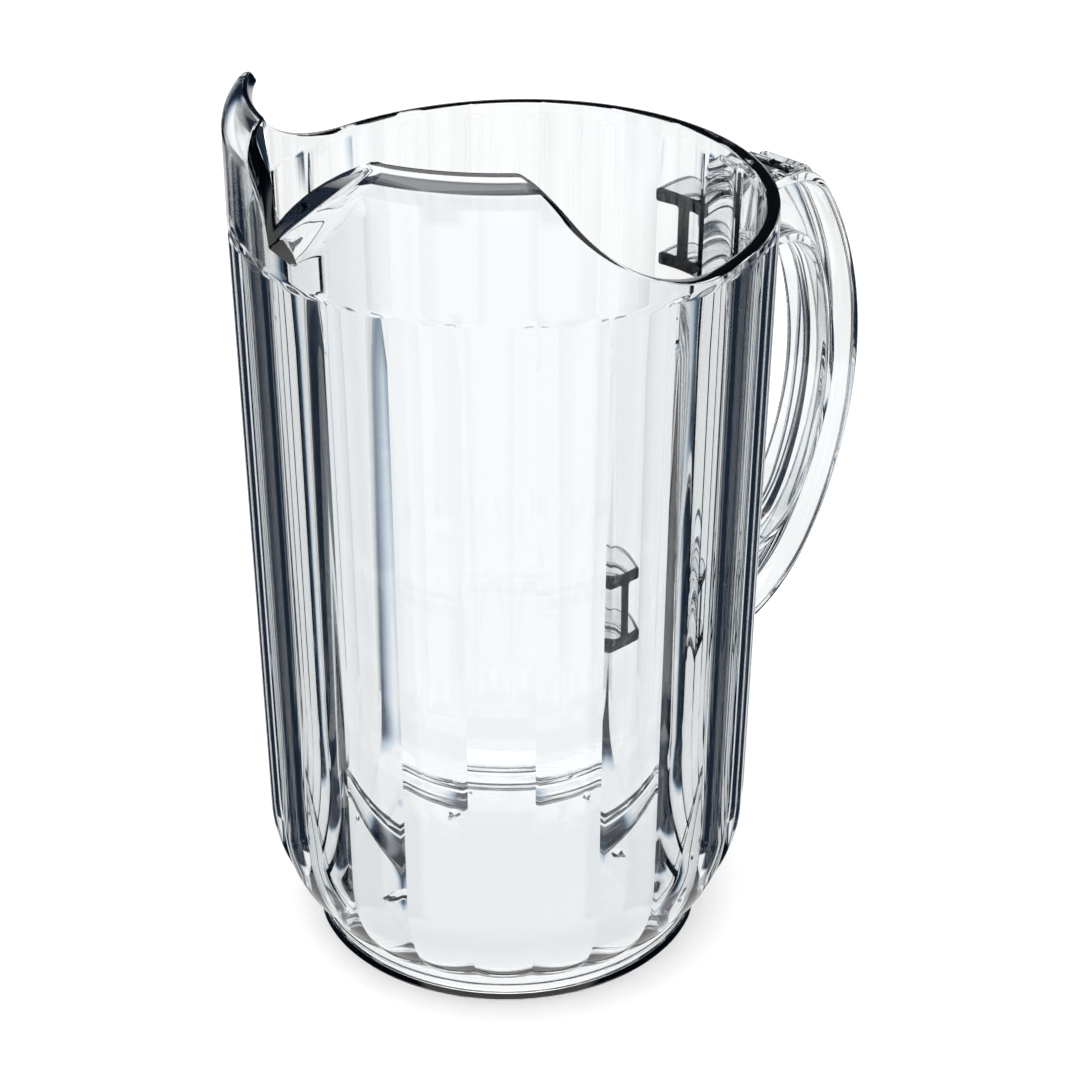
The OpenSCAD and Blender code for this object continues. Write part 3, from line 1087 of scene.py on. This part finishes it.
@dataclass(frozen=True)
class ClearPlastic:
    """Finish of clear, polished, moulded plastic, with optional painted shade on the handle's roots and on
    the jug's edges.
    """

    name: str
    ripple: float
    tint: Colour = (0.955, 0.985, 1.0, 1.0)
    gloss: float = 0.03
    ior: float = 1.57
    roots: Optional[bpy.types.NodeTree] = None
    edges: Optional[bpy.types.NodeTree] = None

    def make(self, group: bpy.types.NodeTree) -> bpy.types.Material:
        """Makes the material.

        Args:
            group: The shared moulding group.

        Returns:
            The material.
        """
        material = bpy.data.materials.new(self.name)
        material.use_nodes = True
        nodes = material.node_tree.nodes
        chain = NodeChain(material.node_tree)
        shader = nodes["Principled BSDF"]
        shader.inputs["Transmission Weight"].default_value = 1.0
        shader.inputs["IOR"].default_value = self.ior
        shader.inputs["Metallic"].default_value = 0.0
        place = nodes.new("ShaderNodeTexCoord").outputs["Object"]
        mould = self.add_group(chain, group, place)
        mould.inputs["Tint"].default_value = self.tint
        mould.inputs["Gloss"].default_value = self.gloss
        bump = nodes.new("ShaderNodeBump")
        bump.inputs["Distance"].default_value = self.ripple
        bump.inputs["Strength"].default_value = 1.0
        colour = mould.outputs["Color"]
        # Painted shade on the handle's roots where they meet the wall.
        if self.roots is not None:
            roots = self.add_group(chain, self.roots, place)
            chain.feed(roots.inputs["Color"], colour)
            colour = roots.outputs["Color"]
        # Painted shade: the lip's front edges, the wings' tops, and the curl's inner face where a ray leaves
        # the wall through it, are mixed towards a near-black tone in place of light led away along the wall.
        if self.edges is not None:
            mark = nodes.new("ShaderNodeAttribute")
            mark.attribute_name = EDGE_TAG
            curl = self.add_group(chain, self.edges, place)
            side = nodes.new("ShaderNodeNewGeometry")
            through = chain.do("MULTIPLY", curl.outputs["Inner"], side.outputs["Backfacing"])
            front = chain.do("MAXIMUM", mark.outputs["Fac"], curl.outputs["Top"])
            colour = chain.blend(chain.do("MAXIMUM", front, through), colour, EDGE_SHADE_TONE)
        chain.feed(shader.inputs["Base Color"], colour)
        chain.feed(shader.inputs["Roughness"], mould.outputs["Roughness"])
        chain.feed(bump.inputs["Height"], mould.outputs["Height"])
        chain.feed(shader.inputs["Normal"], bump.outputs["Normal"])
        return material

    @staticmethod
    def add_group(chain: NodeChain, group: bpy.types.NodeTree, place: bpy.types.NodeSocket) -> bpy.types.Node:
        """Adds a group that reads places on the piece.

        Args:
            chain: The material's nodes.
            group: The group.
            place: Places on the piece.

        Returns:
            The group's node.
        """
        node = chain.tree.nodes.new("ShaderNodeGroup")
        node.node_tree = group
        chain.feed(node.inputs["Vector"], place)
        return node


@dataclass
class PhotoCamera:
    """Camera at the photograph's viewing angle. Lengths are in metres and angles in radians."""

    distance: float = 0.56429
    height: float = 0.41370
    pitch: float = 0.5090
    yaw: float = 0.0125
    roll: float = -0.0060
    azimuth: float = -43.8
    lens: float = 91.92
    sensor: float = 36.0
    clip: Tuple[float, float] = (0.01, 50.0)

    def place(self) -> bpy.types.Object:
        """Makes the camera and sets it as the scene's.

        Returns:
            The camera.
        """
        forward = Vector((0, math.cos(self.pitch), -math.sin(self.pitch)))
        right, up = Vector((1, 0, 0)), Vector((0, math.sin(self.pitch), math.cos(self.pitch)))
        ahead = math.cos(self.yaw) * forward + math.sin(self.yaw) * right
        aside = math.cos(self.yaw) * right - math.sin(self.yaw) * forward
        across = math.cos(self.roll) * aside + math.sin(self.roll) * up
        above = math.cos(self.roll) * up - math.sin(self.roll) * aside
        pose = Matrix((across, above, -ahead)).transposed().to_4x4()
        pose.translation = Vector((0, -self.distance, self.height))
        data = bpy.data.cameras.new("photo_camera")
        data.lens, data.sensor_width = self.lens, self.sensor
        data.clip_start, data.clip_end = self.clip
        camera = bpy.data.objects.new("photo_camera", data)
        bpy.context.scene.collection.objects.link(camera)
        camera.matrix_world = Matrix.Rotation(math.radians(self.azimuth), 4, "Z") @ pose
        bpy.context.scene.camera = camera
        return camera


@dataclass
class Studio:
    """Pale floor, white surround with dark flags between the white panels, and a soft lamp."""

    floor_size: float = 6.0
    floor_tone: Colour = (0.9, 0.9, 0.9, 1.0)
    floor_roughness: float = 0.9
    floor_glow: float = 0.3
    surround: float = 0.9
    facing: float = 43.8
    flag_from: float = 21.0
    flag_full: float = 27.0
    flag_end: float = 130.0
    flag_low: float = -45.0
    flag_high: float = -22.0
    flag_edge: float = 3.0
    back_edge: float = 10.0
    back_tone: Colour = (0.9, 0.9, 0.9, 1.0)
    panel_pitch: float = 45.0
    gap_from: float = 12.0
    gap_full: float = 19.0
    ceiling_low: float = 14.0
    ceiling_high: float = 50.0
    ceiling_edge: float = 5.0
    ceiling_tone: Colour = (0.021, 0.03, 0.045, 1.0)
    key_place: Tuple[float, float, float] = (-0.15, 0.1, 1.8)
    key_target: Tuple[float, float, float] = (0.0, 0.0, 0.1)
    key_size: float = 1.6
    key_power: float = 16.0

    def floor(self) -> bpy.types.Object:
        """Makes the floor, which keeps the pitcher's shadow.

        Returns:
            The floor.
        """
        clear_selection()
        bpy.ops.mesh.primitive_plane_add(size=self.floor_size, location=(0, 0, 0))
        floor = bpy.context.object
        floor.name = "studio_floor"
        floor.visible_transmission = False
        floor.visible_glossy = False
        material = bpy.data.materials.new("floor_white")
        material.use_nodes = True
        nodes = material.node_tree.nodes
        chain = NodeChain(material.node_tree)
        shader = nodes["Principled BSDF"]
        shader.inputs["Base Color"].default_value = self.floor_tone
        shader.inputs["Roughness"].default_value = self.floor_roughness
        shader.inputs["Emission Color"].default_value = WHITE
        path = nodes.new("ShaderNodeLightPath")
        glow = chain.do("MULTIPLY", path.outputs["Is Camera Ray"], self.floor_glow)
        chain.feed(shader.inputs["Emission Strength"], glow)
        floor.data.materials.append(material)
        return floor

    def world(self) -> None:
        """Makes the white surround, in which clear pieces also see the flags."""
        world = bpy.data.worlds.new("studio_surround")
        bpy.context.scene.world = world
        world.use_nodes = True
        nodes = world.node_tree.nodes
        chain = NodeChain(world.node_tree)
        path = nodes.new("ShaderNodeLightPath")
        place = chain.split(nodes.new("ShaderNodeTexCoord").outputs["Generated"])
        bearing = chain.do("DEGREES", chain.do("ARCTAN2", place["X"], place["Y"]))
        rise = chain.do("DEGREES", chain.do("ARCSINE", place["Z"]))
        edge = self.flag_edge
        turned = chain.do("WRAP", chain.do("SUBTRACT", bearing, self.facing), 180.0, -180.0)
        aside = chain.do("ABSOLUTE", turned)
        above = chain.ramp(rise, self.flag_high, self.flag_high + edge)
        below = chain.ramp(rise, self.flag_low - edge, self.flag_low)
        band = chain.do("MULTIPLY", below, chain.do("SUBTRACT", 1.0, above))
        flags = self.flag(chain, aside, self.flag_from, self.flag_full)
        behind = chain.ramp(aside, self.flag_end - self.back_edge, self.flag_end)
        low = chain.blend(band, WHITE, chain.blend(behind, flags, self.back_tone))
        spread = chain.do("PINGPONG", bearing, self.panel_pitch / 2)
        level = chain.blend(above, low, self.flag(chain, spread, self.gap_from, self.gap_full))
        high = chain.ramp(rise, self.ceiling_high - self.ceiling_edge, self.ceiling_high)
        dome = chain.blend(high, self.ceiling_tone, WHITE)
        shape = chain.blend(chain.ramp(rise, self.ceiling_low, self.ceiling_low + edge), level, dome)
        seen = chain.do("MAXIMUM", path.outputs["Is Glossy Ray"], path.outputs["Is Transmission Ray"])
        plain = chain.do("MAXIMUM", seen, path.outputs["Is Camera Ray"])
        back = nodes["Background"]
        chain.feed(back.inputs["Color"], chain.blend(seen, WHITE, shape))
        power = chain.do("MULTIPLY_ADD", plain, 1.0 - self.surround, self.surround)
        chain.feed(back.inputs["Strength"], power)

    @staticmethod
    def flag(chain: NodeChain, aside: bpy.types.NodeSocket, start: float,
             full: float) -> bpy.types.NodeSocket:
        """Adds a dark flag beside a white panel.

        Args:
            chain: The world's nodes.
            aside: Angle from the middle of the panel.
            start: Angle at which the panel ends.
            full: Angle from which the flag is fully dark.

        Returns:
            The colour's socket.
        """
        ramp = chain.tree.nodes.new("ShaderNodeValToRGB")
        for spot, _ in FLAG_TONES[2:]:
            ramp.color_ramp.elements.new(spot)
        for element, (spot, colour) in zip(ramp.color_ramp.elements, FLAG_TONES):
            element.position, element.color = spot, (*colour, 1.0)
        chain.feed(ramp.inputs["Fac"], chain.do("DIVIDE", chain.do("SUBTRACT", aside, start), full - start))
        return ramp.outputs["Color"]

    def lamp(self) -> None:
        """Makes the soft square lamp above the pitcher."""
        data = bpy.data.lights.new("key_softbox", "AREA")
        data.shape, data.size, data.energy = "SQUARE", self.key_size, self.key_power
        lamp = bpy.data.objects.new("key_softbox", data)
        bpy.context.scene.collection.objects.link(lamp)
        lamp.location = self.key_place
        lamp.rotation_mode = "QUATERNION"
        lamp.rotation_quaternion = (Vector(self.key_target) - Vector(self.key_place)).to_track_quat("-Z", "Y")

    def build(self) -> None:
        """Builds the whole studio."""
        self.floor()
        self.world()
        self.lamp()


def dress(piece: bpy.types.Object, material: bpy.types.Material, node: str) -> None:
    """Gives a piece its finish and joins it to the frame.

    Args:
        piece: The piece.
        material: Its material.
        node: CAD node that it stands for.
    """
    piece.data.materials.clear()
    piece.data.materials.append(material)
    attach(piece, ROOT)
    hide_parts(node)
    LOG.info("%s: %d faces", piece.name, len(piece.data.polygons))


def main() -> None:
    """Builds the pitcher, the camera and the studio."""
    logging.basicConfig(level=logging.INFO, format="%(name)s: %(message)s")
    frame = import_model()
    LOG.info("CAD nodes: %s", ", ".join(sorted(frame["nodes"])))
    bpy.context.scene.view_settings.view_transform = "Standard"
    group = Moulding().group()
    wall = LobedWall()
    jug, handle = JugBody(wall), LoopHandle(wall)
    body_finish = ClearPlastic("clear_body", ripple=4e-5, edges=jug.curl_shade_group())
    handle_finish = ClearPlastic("clear_handle", ripple=3e-5, roots=root_shade_group(wall))
    dress(jug.build(), body_finish.make(group), "jug_body")
    dress(handle.build(), handle_finish.make(group), "handle")
    PhotoCamera().place()
    Studio().build()


if __name__ == "__main__":
    main()
